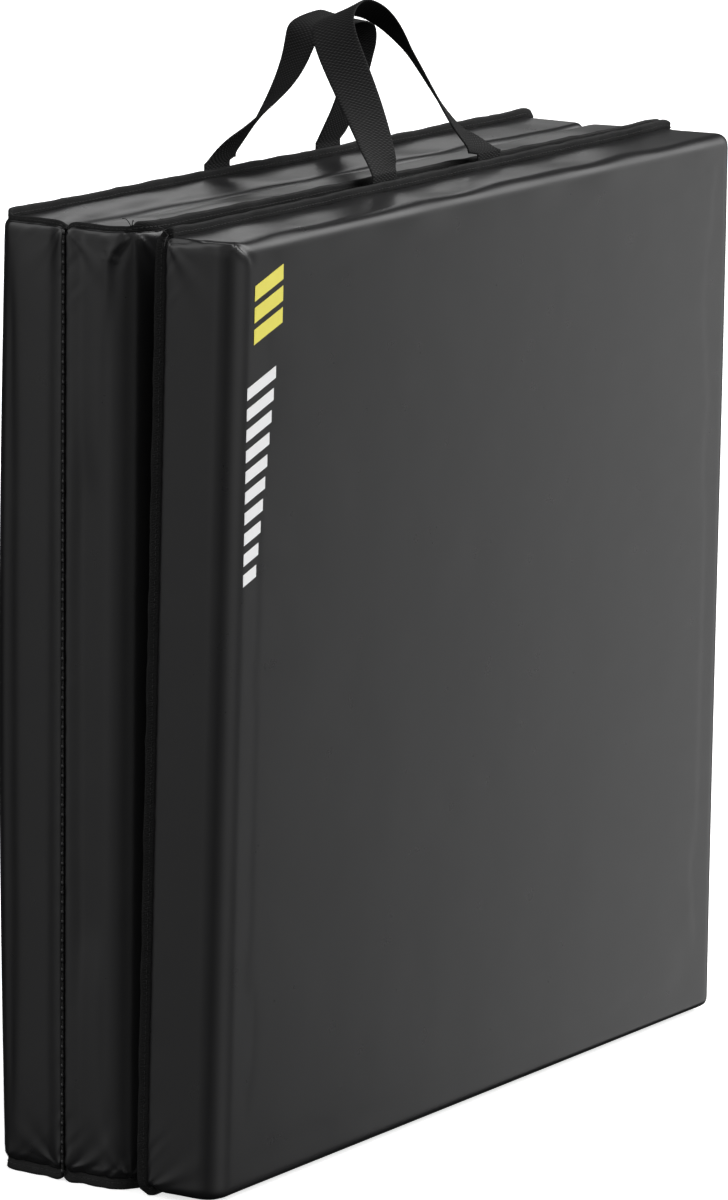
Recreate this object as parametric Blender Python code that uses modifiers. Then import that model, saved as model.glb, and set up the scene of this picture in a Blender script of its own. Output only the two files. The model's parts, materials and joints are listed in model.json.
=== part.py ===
"""Folding gym mat: three padded panels sewn into one cover, folded in a Z and standing on edge.

X runs along a panel's width, Y through the folded stack and Z up. The origin is the bottom
centre of the folded mat. The rear and front panels are built closed, each from an empty on
its fold line, and the front one's empty is then turned a little, as the padding holds it.
"""

from math import cos, pi, radians, sin

import bmesh
import bpy
from mathutils import Vector
from mathutils.geometry import interpolate_bezier

# Panels
PANEL_WIDTH = 0.600
PANEL_HEIGHT = 0.600
FOAM_THICKNESS = 0.050
VINYL_THICKNESS = 0.0006
CLEARANCE = 0.0003
CORNER_RADIUS = 0.008
ARC_STEPS = 4

# How the panels stack and fold
PANEL_SPACING = 0.001
FOLD_STANDOFF = 0.003
FRONT_SPLAY = radians(1.35)

# Bound seam flange round the base sheet
FLANGE_HEIGHT = 0.0065
FLANGE_THICKNESS = 0.0024

# Stitched welt on each fold line
WELT_RADIUS = 0.0007
WELT_SIDES = 12

# Carrying handles. A handle's curve is drawn in its own upright plane, from between its feet,
# and its lean then tips that plane. The twist eases say how late each leg turns on its way up.
WEBBING_WIDTH = 0.028
WEBBING_THICKNESS = 0.0018
HANDLE_HALF_SPAN = 0.0625
HANDLE_CLEARANCE = 0.002
HANDLE_STEPS = 14
SQUARE_FOOT_HEIGHT = 0.014

REAR_HANDLE_X = -0.007
REAR_HANDLE_HEIGHT = 0.089
REAR_HANDLE_LEAN = radians(16)
REAR_LEFT_WAIST = (0.046, 0.068)
REAR_LEFT_SHOULDER = -0.042
REAR_CROWN = 0.036
REAR_RIGHT_SHOULDER = 0.064
REAR_RIGHT_WAIST = (0.090, 0.046)
REAR_LEFT_TWIST = ((0, 0), (0.14, 20), (0.3, 34), (0.5, 56), (0.75, 80), (1, 90))
REAR_RIGHT_TWIST = ((0, 0), (0.3, 2), (0.5, 11), (0.7, 39), (0.85, 71), (1, 90))

FRONT_HANDLE_X = 0.015
FRONT_HANDLE_HEIGHT = 0.113
FRONT_HANDLE_LEAN = radians(-33)
FRONT_LEFT_WAIST = (-0.034, 0.078)
FRONT_LEFT_SHOULDER = -0.058
FRONT_CROWN = -0.008
FRONT_RIGHT_SHOULDER = 0.060
FRONT_RIGHT_WAIST = (0.013, 0.013)
FRONT_LEFT_TWIST = ((0, 0), (0.12, 12), (0.3, 26), (0.6, 48), (0.8, 66), (1, 90))
FRONT_RIGHT_TWIST = ((0, 0), (0.15, 20), (0.35, 31), (0.6, 38), (0.8, 62), (1, 90))

# Printed films on the front panel, measured from its left wall and its top
FILM_THICKNESS = 0.0003
YELLOW_FILM_LEFT = 0.022
YELLOW_FILM_TOP = 0.018
YELLOW_FILM_WIDTH = 0.031
YELLOW_FILM_HEIGHT = 0.050
WHITE_FILM_LEFT = 0.016
WHITE_FILM_TOP = 0.080
WHITE_FILM_WIDTH = 0.031
WHITE_FILM_HEIGHT = 0.138

# Worked out from the sizes above
WRAP = VINYL_THICKNESS + CLEARANCE
PANEL_THICKNESS = FOAM_THICKNESS + 2 * WRAP
LEFT = -PANEL_WIDTH / 2
RIGHT = PANEL_WIDTH / 2
BOTTOM = FLANGE_THICKNESS + CLEARANCE
TOP = BOTTOM + PANEL_HEIGHT
FLANGE_BASE = TOP + CLEARANCE
FLANGE_TOP = FLANGE_BASE + FLANGE_HEIGHT

# The front panel's splayed corner sets the depth of the folded mat, and so its centre
FOLD_TO_FACE = PANEL_SPACING / 2 + PANEL_THICKNESS
SPLAYED_DEPTH = (
    (PANEL_WIDTH + FOLD_STANDOFF - CORNER_RADIUS) * sin(FRONT_SPLAY)
    + (FOLD_TO_FACE - CORNER_RADIUS) * cos(FRONT_SPLAY)
    + CORNER_RADIUS
)
BACK_DEPTH = FOLD_TO_FACE + PANEL_SPACING + PANEL_THICKNESS
RIGHT_FOLD = Vector((RIGHT + FOLD_STANDOFF, (SPLAYED_DEPTH - BACK_DEPTH) / 2, 0))
FRONT_BACK_Y = RIGHT_FOLD.y - PANEL_SPACING / 2
FRONT_FACE_Y = FRONT_BACK_Y - PANEL_THICKNESS
MIDDLE_FRONT_Y = RIGHT_FOLD.y + PANEL_SPACING / 2
MIDDLE_BACK_Y = MIDDLE_FRONT_Y + PANEL_THICKNESS
LEFT_FOLD = Vector((LEFT - FOLD_STANDOFF, MIDDLE_BACK_Y + PANEL_SPACING / 2, 0))
REAR_FRONT_Y = MIDDLE_BACK_Y + PANEL_SPACING
REAR_BACK_Y = REAR_FRONT_Y + PANEL_THICKNESS

# A panel's corners, counter-clockwise from above
FRONT_LEFT, FRONT_RIGHT, BACK_RIGHT, BACK_LEFT = range(4)

# Colours as linear RGB, roughness
FOAM_LOOK = ((0.62, 0.63, 0.64), 0.95)
VINYL_LOOK = ((0.030, 0.030, 0.031), 0.42)
BINDING_LOOK = ((0.012, 0.012, 0.012), 0.80)
THREAD_LOOK = ((0.006, 0.006, 0.006), 0.85)
WEBBING_LOOK = ((0.010, 0.010, 0.010), 0.75)
YELLOW_LOOK = ((0.78, 0.69, 0.14), 0.45)
WHITE_LOOK = ((0.86, 0.86, 0.86), 0.45)


def clear_scene():
    for old in list(bpy.data.objects):
        bpy.data.objects.remove(old, do_unlink=True)


def make_collection(name):
    collection = bpy.data.collections.new(name)
    bpy.context.scene.collection.children.link(collection)
    return collection


def make_pivot(name, place, collection, parent=None):
    """An empty on a joint's axis, placed in its parent's own axes."""
    pivot = bpy.data.objects.new(name, None)
    pivot.empty_display_size = 0.03
    pivot.location = place
    pivot.parent = parent
    collection.objects.link(pivot)
    return pivot


def make_material(name, look):
    colour, roughness = look
    material = bpy.data.materials.new(name)
    material.use_nodes = True
    shader = material.node_tree.nodes["Principled BSDF"]
    shader.inputs["Base Color"].default_value = (*colour, 1)
    shader.inputs["Roughness"].default_value = roughness
    shader.inputs["Metallic"].default_value = 0
    return material


def add_piece(name, bm, collection, look, pivot=None, anchor=Vector()):
    """Turns a bmesh drawn in world axes into an object whose origin is the anchor."""
    bmesh.ops.translate(bm, verts=bm.verts, vec=-anchor)
    mesh = bpy.data.meshes.new(name)
    bm.to_mesh(mesh)
    bm.free()
    piece = bpy.data.objects.new(name, mesh)
    piece.data.materials.append(make_material(name, look))
    piece.parent = pivot
    if pivot is None:
        piece.location = anchor
    collection.objects.link(piece)
    return piece


def thicken(piece, thickness, offset=-1):
    """Gives an open sheet its thickness, inwards unless the offset says otherwise."""
    solidify = piece.modifiers.new("thickness", "SOLIDIFY")
    solidify.thickness = thickness
    solidify.offset = offset
    solidify.use_even_offset = True


def join(piece, others, cutters):
    """Joins hidden pieces onto a piece, so that they are one body."""
    for other in others:
        cutters.objects.link(other)
        for collection in list(other.users_collection):
            if collection != cutters:
                collection.objects.unlink(other)
        other.hide_render = True
        other.display_type = "WIRE"
        union = piece.modifiers.new("join", "BOOLEAN")
        union.operation = "UNION"
        union.solver = "EXACT"
        union.object = other


class Panel:
    """One panel's place, and which of its corners the two cover sheets run round."""

    def __init__(self, name, front_y, back_y, face_run, base_run, pivot, anchor):
        self.name = name
        self.corners = (
            Vector((LEFT, front_y)),
            Vector((RIGHT, front_y)),
            Vector((RIGHT, back_y)),
            Vector((LEFT, back_y)),
        )
        self.face_run = face_run
        self.base_run = base_run
        self.pivot = pivot
        self.anchor = anchor

    def run(self, corners, inset=0.0, end_inset=0.0):
        """Points along the walls: sharp at both ends, and rounded at the corners between."""
        inward = (Vector((1, 1)), Vector((-1, 1)), Vector((-1, -1)), Vector((1, -1)))
        radius = CORNER_RADIUS - inset
        points = []
        for step, corner in enumerate(corners):
            sharp = self.corners[corner] + inward[corner] * inset
            if 0 < step < len(corners) - 1:
                centre = sharp + inward[corner] * radius
                start = pi + corner * pi / 2
                for arc_step in range(ARC_STEPS + 1):
                    angle = start + arc_step * pi / 2 / ARC_STEPS
                    points.append(centre + radius * Vector((cos(angle), sin(angle))))
            else:
                points.append(sharp)
        points[0] += (points[1] - points[0]).normalized() * end_inset
        points[-1] += (points[-2] - points[-1]).normalized() * end_inset
        return points


def wall_faces(bm, lows, highs):
    for index in range(len(lows) - 1):
        bm.faces.new((lows[index], lows[index + 1], highs[index + 1], highs[index]))


def ring(bm, points, height):
    return [bm.verts.new((point.x, point.y, height)) for point in points]


def wall_sheet(points, low, high):
    """An upright open sheet along a run of points."""
    bm = bmesh.new()
    wall_faces(bm, ring(bm, points, low), ring(bm, points, high))
    return bm


def block(low, high):
    bm = bmesh.new()
    bmesh.ops.create_cube(bm, size=1)
    bmesh.ops.scale(bm, verts=bm.verts, vec=high - low)
    bmesh.ops.translate(bm, verts=bm.verts, vec=(high + low) / 2)
    return bm


def foam_core(panel, collection):
    """The block of foam, a closed prism."""
    points = panel.run(panel.face_run, WRAP) + panel.run(panel.base_run, WRAP)[1:-1]
    bm = bmesh.new()
    lows = ring(bm, points, BOTTOM + WRAP)
    highs = ring(bm, points, TOP - WRAP)
    wall_faces(bm, lows + lows[:1], highs + highs[:1])
    bm.faces.new(reversed(lows))
    bm.faces.new(highs)
    add_piece(f"{panel.name}_foam_core", bm, collection, FOAM_LOOK, panel.pivot, panel.anchor)


def face_cover(panel, collection):
    """The smooth sheet: one broad face, its side walls, and the top and bottom walls."""
    face_points = panel.run(panel.face_run)
    points = face_points + panel.run(panel.base_run)[1:-1]
    bm = bmesh.new()
    lows = ring(bm, points, BOTTOM)
    highs = ring(bm, points, TOP)
    wall_faces(bm, lows[: len(face_points)], highs[: len(face_points)])
    bm.faces.new(reversed(lows))
    bm.faces.new(highs)
    name = f"{panel.name}_face_cover"
    cover = add_piece(name, bm, collection, VINYL_LOOK, panel.pivot, panel.anchor)
    thicken(cover, VINYL_THICKNESS)


def base_cover(panel, collection):
    """The flat sheet behind the seam: the other broad face, and the wall beside its fold."""
    bm = wall_sheet(panel.run(panel.base_run, end_inset=WRAP), BOTTOM + WRAP, TOP - WRAP)
    name = f"{panel.name}_base_cover"
    cover = add_piece(name, bm, collection, VINYL_LOOK, panel.pivot, panel.anchor)
    thicken(cover, VINYL_THICKNESS)


def flange(panel, name, low, high, depth, collection):
    """The bound seam along the base sheet: stood up on top, or folded under the bottom."""
    bm = wall_sheet(panel.run(panel.base_run), low, high)
    strip = add_piece(name, bm, collection, BINDING_LOOK, panel.pivot, panel.anchor)
    thicken(strip, depth)
    return strip


def top_flange(panel, name, collection):
    return flange(panel, name, FLANGE_BASE, FLANGE_TOP, FLANGE_THICKNESS, collection)


def bottom_flange(panel, name, collection):
    return flange(panel, name, 0, FLANGE_THICKNESS, FLANGE_HEIGHT, collection)


def side_flange(panel, name, outward, collection):
    """The bound seam up the wall, and its two returns over the top and under the bottom."""
    back_y = panel.corners[BACK_LEFT].y
    wall_x = RIGHT if outward > 0 else LEFT
    near_x = wall_x + outward * CLEARANCE
    far_x = near_x + outward * FLANGE_HEIGHT
    inner_x = wall_x - outward * FLANGE_HEIGHT

    def part(part_name, from_x, low_z, high_z, depth):
        low = Vector((min(from_x, far_x), back_y - depth, low_z))
        high = Vector((max(from_x, far_x), back_y, high_z))
        bm = block(low, high)
        return add_piece(part_name, bm, collection, BINDING_LOOK, panel.pivot, panel.anchor)

    upright = part(f"{name}_upright", near_x, 0, FLANGE_TOP, FLANGE_THICKNESS)
    over = part(f"{name}_over", inner_x, FLANGE_BASE, FLANGE_TOP, FLANGE_THICKNESS)
    under = part(f"{name}_under", inner_x, 0, FLANGE_THICKNESS, FLANGE_HEIGHT)
    return [upright, over, under]


def wrapped_binding(panel, outward, collection, cutters):
    """Top, side and bottom flanges of an end panel as one strip."""
    name = f"{panel.name}_edge_binding"
    strip = top_flange(panel, name, collection)
    others = side_flange(panel, name, outward, collection)
    others.append(bottom_flange(panel, f"{name}_bottom", collection))
    join(strip, others, cutters)


def hinge_seam(name, fold, collection):
    """The welt of stitching that both panels turn about."""
    bpy.ops.mesh.primitive_cylinder_add(
        vertices=WELT_SIDES,
        radius=WELT_RADIUS,
        depth=PANEL_HEIGHT,
        location=fold + Vector((0, 0, BOTTOM + PANEL_HEIGHT / 2)),
    )
    welt = bpy.context.object
    welt.name = name
    welt.data.name = name
    welt.data.materials.append(make_material(name, THREAD_LOOK))
    for owner in list(welt.users_collection):
        owner.objects.unlink(welt)
    collection.objects.link(welt)


def handle_line(height, left_waist, left_shoulder, crown, right_shoulder, right_waist):
    """A handle's centre line, and each point's share of the way from its foot to the crown."""
    top = Vector((crown, 0, height))
    left = interpolate_bezier(
        Vector((-HANDLE_HALF_SPAN, 0, 0)),
        Vector((left_waist[0], 0, left_waist[1])),
        Vector((left_shoulder, 0, height)),
        top,
        HANDLE_STEPS,
    )
    right = interpolate_bezier(
        Vector((HANDLE_HALF_SPAN, 0, 0)),
        Vector((right_waist[0], 0, right_waist[1])),
        Vector((right_shoulder, 0, height)),
        top,
        HANDLE_STEPS,
    )
    shares = way_up(left) + way_up(right)[-2::-1]
    return left + right[-2::-1], shares


def way_up(leg):
    """For each point of a leg, its distance along the leg over the leg's length."""
    distances = [0.0]
    for low, high in zip(leg, leg[1:]):
        distances.append(distances[-1] + (high - low).length)
    return [distance / distances[-1] for distance in distances]


def smooth_step(value):
    value = min(max(value, 0.0), 1.0)
    return value * value * (3 - 2 * value)


def twist_at(share, knots):
    """Degrees of twist at a share of the way up a leg, from (share, degrees) knots."""
    for (low, low_turn), (high, high_turn) in zip(knots, knots[1:]):
        if share <= high:
            return low_turn + (high_turn - low_turn) * (share - low) / (high - low)
    return knots[-1][1]


def handle(name, foot_side, curve, twists, pivot, collection):
    """Flat webbing that faces foot_side (+1 back, -1 front) at its feet and outwards on top."""
    line, shares = handle_line(*curve)
    bm = bmesh.new()
    rows = []
    for index, point in enumerate(line):
        before = line[max(index - 1, 0)]
        after = line[min(index + 1, len(line) - 1)]
        along = (after - before).normalized()
        outward = Vector((-along.z, 0, along.x))
        knots = twists[0] if index < HANDLE_STEPS else twists[1]
        turn = radians(twist_at(shares[index], knots))
        normal = cos(turn) * foot_side * Vector((0, 1, 0)) + sin(turn) * outward
        across = along.cross(normal).normalized()
        foot_across = Vector((1 if across.x > 0 else -1, 0, 0))
        across = foot_across.lerp(across, smooth_step(point.z / SQUARE_FOOT_HEIGHT)).normalized()
        half = across * WEBBING_WIDTH / 2
        rows.append((bm.verts.new(point - half), bm.verts.new(point + half)))
    for low, high in zip(rows, rows[1:]):
        bm.faces.new((low[0], low[1], high[1], high[0]))
    webbing = add_piece(name, bm, collection, WEBBING_LOOK, pivot)
    webbing.data.shade_smooth()
    thicken(webbing, WEBBING_THICKNESS, offset=0)


def film(name, look, left, top, width, height, panel, collection):
    """A thin print bonded on the front panel's face."""
    outer_y = FRONT_FACE_Y - CLEARANCE - FILM_THICKNESS
    low = Vector((LEFT + left, outer_y, TOP - top - height))
    high = Vector((LEFT + left + width, outer_y + FILM_THICKNESS, TOP - top))
    add_piece(name, block(low, high), collection, look, panel.pivot, panel.anchor)


clear_scene()
mat = make_collection("folding_gym_mat")
cutters = make_collection("cutters")

left_pivot = make_pivot("fold_left_axis", LEFT_FOLD, mat)
right_pivot = make_pivot("fold_right_axis", RIGHT_FOLD, mat)
right_pivot.rotation_euler.z = FRONT_SPLAY

rear = Panel(
    "rear",
    REAR_FRONT_Y,
    REAR_BACK_Y,
    (FRONT_LEFT, FRONT_RIGHT, BACK_RIGHT),
    (BACK_RIGHT, BACK_LEFT, FRONT_LEFT),
    left_pivot,
    LEFT_FOLD,
)
middle = Panel(
    "middle",
    MIDDLE_FRONT_Y,
    MIDDLE_BACK_Y,
    (FRONT_RIGHT, BACK_RIGHT, BACK_LEFT),
    (BACK_LEFT, FRONT_LEFT, FRONT_RIGHT),
    None,
    Vector(),
)
front = Panel(
    "front",
    FRONT_FACE_Y,
    FRONT_BACK_Y,
    (BACK_LEFT, FRONT_LEFT, FRONT_RIGHT, BACK_RIGHT),
    (BACK_RIGHT, BACK_LEFT),
    right_pivot,
    RIGHT_FOLD,
)

for panel in (rear, middle, front):
    foam_core(panel, mat)
    face_cover(panel, mat)
    base_cover(panel, mat)

wrapped_binding(rear, 1, mat, cutters)
wrapped_binding(front, -1, mat, cutters)
top_flange(middle, "middle_top_binding", mat)
bottom_flange(middle, "middle_bottom_binding", mat)

hinge_seam("left_hinge_seam", LEFT_FOLD, mat)
hinge_seam("right_hinge_seam", RIGHT_FOLD, mat)

handle_height = FLANGE_TOP + HANDLE_CLEARANCE
rear_foot = Vector((REAR_HANDLE_X, REAR_BACK_Y - FLANGE_THICKNESS / 2, handle_height))
front_foot = Vector((FRONT_HANDLE_X, FRONT_BACK_Y - FLANGE_THICKNESS / 2, handle_height))
rear_tilt = make_pivot("rear_handle_axis", rear_foot - LEFT_FOLD, mat, left_pivot)
front_tilt = make_pivot("front_handle_axis", front_foot - RIGHT_FOLD, mat, right_pivot)
rear_tilt.rotation_euler.x = REAR_HANDLE_LEAN
front_tilt.rotation_euler.x = FRONT_HANDLE_LEAN
rear_curve = (
    REAR_HANDLE_HEIGHT,
    REAR_LEFT_WAIST,
    REAR_LEFT_SHOULDER,
    REAR_CROWN,
    REAR_RIGHT_SHOULDER,
    REAR_RIGHT_WAIST,
)
front_curve = (
    FRONT_HANDLE_HEIGHT,
    FRONT_LEFT_WAIST,
    FRONT_LEFT_SHOULDER,
    FRONT_CROWN,
    FRONT_RIGHT_SHOULDER,
    FRONT_RIGHT_WAIST,
)
handle("rear_handle", 1, rear_curve, (REAR_LEFT_TWIST, REAR_RIGHT_TWIST), rear_tilt, mat)
handle("front_handle", -1, front_curve, (FRONT_LEFT_TWIST, FRONT_RIGHT_TWIST), front_tilt, mat)

film(
    "yellow_print_film",
    YELLOW_LOOK,
    YELLOW_FILM_LEFT,
    YELLOW_FILM_TOP,
    YELLOW_FILM_WIDTH,
    YELLOW_FILM_HEIGHT,
    front,
    mat,
)
film(
    "white_print_film",
    WHITE_LOOK,
    WHITE_FILM_LEFT,
    WHITE_FILM_TOP,
    WHITE_FILM_WIDTH,
    WHITE_FILM_HEIGHT,
    front,
    mat,
)
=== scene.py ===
import json
from math import atan2, cos, pi, radians, sin, tan

import bmesh
import bpy
import numpy as np
from mathutils import Matrix, Vector
from mathutils.bvhtree import BVHTree
from mathutils.geometry import interpolate_bezier
from mathutils.kdtree import KDTree


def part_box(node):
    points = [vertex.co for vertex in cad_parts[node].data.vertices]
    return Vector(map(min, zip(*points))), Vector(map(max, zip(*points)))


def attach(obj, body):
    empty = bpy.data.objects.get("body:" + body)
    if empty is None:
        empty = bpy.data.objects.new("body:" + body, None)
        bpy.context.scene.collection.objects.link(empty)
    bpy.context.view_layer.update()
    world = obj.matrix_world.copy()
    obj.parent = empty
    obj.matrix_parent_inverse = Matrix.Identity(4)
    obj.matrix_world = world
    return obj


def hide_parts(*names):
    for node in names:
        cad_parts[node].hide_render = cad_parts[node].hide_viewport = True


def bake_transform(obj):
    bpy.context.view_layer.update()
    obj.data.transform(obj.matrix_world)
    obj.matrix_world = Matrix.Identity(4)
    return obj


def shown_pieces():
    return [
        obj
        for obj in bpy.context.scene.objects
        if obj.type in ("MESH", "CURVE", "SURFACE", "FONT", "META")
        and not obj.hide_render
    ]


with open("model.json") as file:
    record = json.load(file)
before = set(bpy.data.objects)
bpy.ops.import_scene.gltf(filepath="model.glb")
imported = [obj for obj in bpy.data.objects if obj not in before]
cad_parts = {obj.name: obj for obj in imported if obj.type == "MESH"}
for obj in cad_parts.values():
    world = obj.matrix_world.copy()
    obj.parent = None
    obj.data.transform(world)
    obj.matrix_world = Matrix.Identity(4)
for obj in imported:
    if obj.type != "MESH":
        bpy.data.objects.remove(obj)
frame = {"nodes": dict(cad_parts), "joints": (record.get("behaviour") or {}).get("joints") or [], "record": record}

MM = 0.001
UP = np.array((0.0, 0.0, 1.0))

# ---------------------------------------------------------------- sizes taken from the frame

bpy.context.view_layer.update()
joints = {joint["name"]: joint for joint in frame["joints"]}
LEFT_FOLD = Vector(joints["fold_left"]["pos_m"])
RIGHT_FOLD = Vector(joints["fold_right"]["pos_m"])
REAR_FOOT = Vector(joints["rear_handle_tilt"]["pos_m"])
FRONT_FOOT = Vector(joints["front_handle_tilt"]["pos_m"])
tilt_axis = joints["front_handle_tilt"]["axis"]
FRONT_SPLAY = atan2(tilt_axis[1], tilt_axis[0])

middle_low, middle_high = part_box("middle_face_cover")
rear_low, rear_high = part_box("rear_face_cover")
THICKNESS = middle_high.y - middle_low.y
WIDTH = middle_high.x - middle_low.x
BOTTOM = middle_low.z
TOP = middle_high.z
FLANGE_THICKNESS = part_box("middle_bottom_binding")[1].z
FLANGE_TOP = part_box("middle_top_binding")[1].z
FLANGE_HEIGHT = FLANGE_TOP - TOP
FLANGE_OVERRUN = 1.6 * MM
FLANGE_FOLD_GAP = 1.5 * MM

# The cover
EDGE_RADIUS = 10 * MM
INNER_EDGE_RADIUS = 24.9 * MM
OUTER_EDGE_RADIUS = 16 * MM
CROWN_RADIUS = 6 * MM
SOFT_CROWN_RADIUS = 9 * MM
SEAM_RADIUS = 1.2 * MM
FINE_STEP = 3.6 * MM
COARSE_STEP = 13 * MM
FINE_BAND = 43.2 * MM
THICKNESS_STEPS = 14
VINYL_THICKNESS = 0.6 * MM
BROAD_BULGE = 0.12 * MM
CONTACT_BULGE = 0.12 * MM
WALL_BULGE = 2.0 * MM
TOP_BULGE = 3.2 * MM
BOTTOM_BULGE = 2.2 * MM
DENT_SHARE = 0.12
BROAD_SLIDE = 0.15 * MM
FOAM_GAP = 1.0 * MM

# The lower seam is drawn up and in, and its flange hangs down from it
SEAM_LIFT = 3.4 * MM
SEAM_LIFT_REACH = 13 * MM
TOP_SEAM_INSET = 0.8 * MM
BOTTOM_SEAM_INSET = 1.0 * MM

# Small gathers in the vinyl
PUCKER_HEIGHT = 0.38 * MM
PUCKER_REACH = 9 * MM
PUCKER_LENGTH = 15 * MM
LOWER_PUCKER_GAIN = 2.0
FAN_HEIGHT = 1.0 * MM
FAN_REACH = 17 * MM

# The walls are drawn out to the cord on each fold
FOLD_DRAW = LEFT_FOLD.x + WIDTH / 2
FOLD_DRAW_REACH = 14 * MM
FOLD_CLOSING = 0.35 * MM

# The top edges wander and sag a little, and the tops swell unevenly between them
WANDER = 1.3 * MM
WANDER_LENGTH = 120 * MM
WANDER_DEPTH = 30 * MM
WANDER_SEEDS = {"rear": (7, 11), "middle": (9, 7), "front": (13, 9)}
SAG = 1.2 * MM
SWELL = 1.5 * MM
SWELL_LENGTH = 135 * MM

# The front panel's top left corner is pulled forward more than its foot
FRONT_TWIST = 6 * MM

# How far the right ends stray at the top: the front panel's out, the others' in. The middle
# panel's end gives way as far as the front panel's stands out, so the two meet when laid flat.
FRONT_TOP_STRAY = 6 * MM
MIDDLE_TOP_STRAY = -FRONT_TOP_STRAY
REAR_TOP_STRAY = -6 * MM

# The rear panel's broad face bellies out towards its left end, halfway up
REAR_BELLY = 4.5 * MM

SIDES = ("left", "right", "front", "back", "bottom", "top")
SIDE_NORMALS = {
    "left": (-1, 0, 0),
    "right": (1, 0, 0),
    "front": (0, -1, 0),
    "back": (0, 1, 0),
    "bottom": (0, 0, -1),
    "top": (0, 0, 1),
}

# Webbing handles: each curve lies in its own plane, from between its feet
WEBBING_WIDTH = 28 * MM
WEBBING_THICKNESS = 1.7 * MM
HANDLE_HALF_SPAN = 62.5 * MM
HANDLE_SINK = 6 * MM
SQUARE_FOOT_HEIGHT = 14 * MM
TWIST_BLUR = 15
WEFT_PITCH = 2.3 * MM
WARP_PITCH = 2.0 * MM
WEAVE_RELIEF = 0.16 * MM
REAR_HANDLE = {
    "height": 89 * MM,
    "lean": radians(16),
    "left_waist": (46 * MM, 68 * MM),
    "left_shoulder": -42 * MM,
    "crown": 36 * MM,
    "right_shoulder": 64 * MM,
    "right_waist": (90 * MM, 46 * MM),
    "left_twist": ((0, 0), (0.14, 20), (0.3, 34), (0.5, 56), (0.75, 80), (1, 90)),
    "right_twist": ((0, 0), (0.3, 2), (0.5, 11), (0.7, 39), (0.85, 71), (1, 90)),
}
FRONT_HANDLE = {
    "height": 113 * MM,
    "lean": radians(-33),
    "left_waist": (-34 * MM, 78 * MM),
    "left_shoulder": -58 * MM,
    "crown": -8 * MM,
    "right_shoulder": 60 * MM,
    "right_waist": (13 * MM, 13 * MM),
    "left_twist": ((0, 0), (0.12, 12), (0.3, 26), (0.6, 48), (0.8, 66), (1, 90)),
    "right_twist": ((0, 0), (0.15, 20), (0.35, 31), (0.6, 38), (0.8, 62), (1, 90)),
}

# Stitching
SEAM_STITCH = (3.6 * MM, 2.7 * MM, 0.32 * MM)
HINGE_TIE = (6.2 * MM, 3.2 * MM, 1.0 * MM)
TIE_OUT = 0.25 * MM
WELT_RADIUS = 0.7 * MM

# Prints on the front panel
PRINT_LIFT = 0.12 * MM
PRINT_THICKNESS = 0.14 * MM


# ---------------------------------------------------------------- numbers


def smooth(value):
    value = np.clip(value, 0.0, 1.0)
    return value * value * (3 - 2 * value)


def unit(vectors):
    length = np.linalg.norm(vectors, axis=-1, keepdims=True)
    return vectors / np.maximum(length, 1e-12)


def ripple(along, length, seed):
    """A wavy line that never quite repeats, from -1 to 1."""
    phase = along * 2 * pi / length
    wave = np.sin(phase + seed * 1.7) + 0.6 * np.sin(phase * 1.618 + seed * 2.9)
    return (wave + 0.4 * np.sin(phase * 0.414 + seed * 0.6)) / 2


def spaced(low, high):
    """Grid lines from low to high, close together near both ends."""
    band = low + np.arange(0, FINE_BAND, FINE_STEP)
    middle_steps = int(round((high - low - 2 * FINE_BAND) / COARSE_STEP))
    middle = np.linspace(low + FINE_BAND, high - FINE_BAND, middle_steps + 1)
    return np.concatenate([band, middle, (low + high - band)[::-1]])


# ---------------------------------------------------------------- meshes


def make_mesh(name, points, faces, smooth_shaded=True):
    mesh = bpy.data.meshes.new(name)
    mesh.from_pydata([tuple(point) for point in points], [], [tuple(face) for face in faces])
    if smooth_shaded:
        mesh.shade_smooth()
    piece = bpy.data.objects.new(name, mesh)
    bpy.context.scene.collection.objects.link(piece)
    return piece


def coordinates(mesh):
    flat = np.zeros(len(mesh.vertices) * 3, np.float32)
    mesh.vertices.foreach_get("co", flat)
    return flat.reshape(-1, 3).astype(float)


def point_normals(points, quads):
    """Normals of a closed quad grid's points."""
    quads = np.array(quads)
    across = points[quads[:, 2]] - points[quads[:, 0]]
    up = points[quads[:, 3]] - points[quads[:, 1]]
    face_normals = np.cross(across, up)
    normals = np.zeros_like(points)
    for corner in range(4):
        np.add.at(normals, quads[:, corner], face_normals)
    return unit(normals)


def tube_faces(rings, sides):
    """Quads and two end caps for rings of points laid end to end."""
    faces = []
    for ring in range(rings - 1):
        for side in range(sides):
            following = (side + 1) % sides
            low = ring * sides
            high = low + sides
            faces.append((low + side, low + following, high + following, high + side))
    faces.append(tuple(range(sides))[::-1])
    faces.append(tuple((rings - 1) * sides + side for side in range(sides)))
    return faces


class Soup:
    """Many small closed shapes gathered into one mesh."""

    def __init__(self):
        self.points = []
        self.faces = []
        self.count = 0

    def add(self, points, faces):
        self.points.append(np.asarray(points, float))
        self.faces.extend(tuple(index + self.count for index in face) for face in faces)
        self.count += len(points)

    def make(self, name, smooth_shaded=True):
        return make_mesh(name, np.concatenate(self.points), self.faces, smooth_shaded)


def resample(line, pitch):
    """Points at an even pitch along a polyline, with their distance along it."""
    line = np.asarray(line, float)
    steps = np.linalg.norm(np.diff(line, axis=0), axis=1)
    reach = np.concatenate([[0], np.cumsum(steps)])
    count = max(2, int(round(reach[-1] / pitch)) + 1)
    along = np.linspace(0, reach[-1], count)
    return np.stack([np.interp(along, reach, line[:, axis]) for axis in range(3)], 1), along


def tangents(line):
    return unit(np.gradient(line, axis=0))


# ---------------------------------------------------------------- panels


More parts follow.
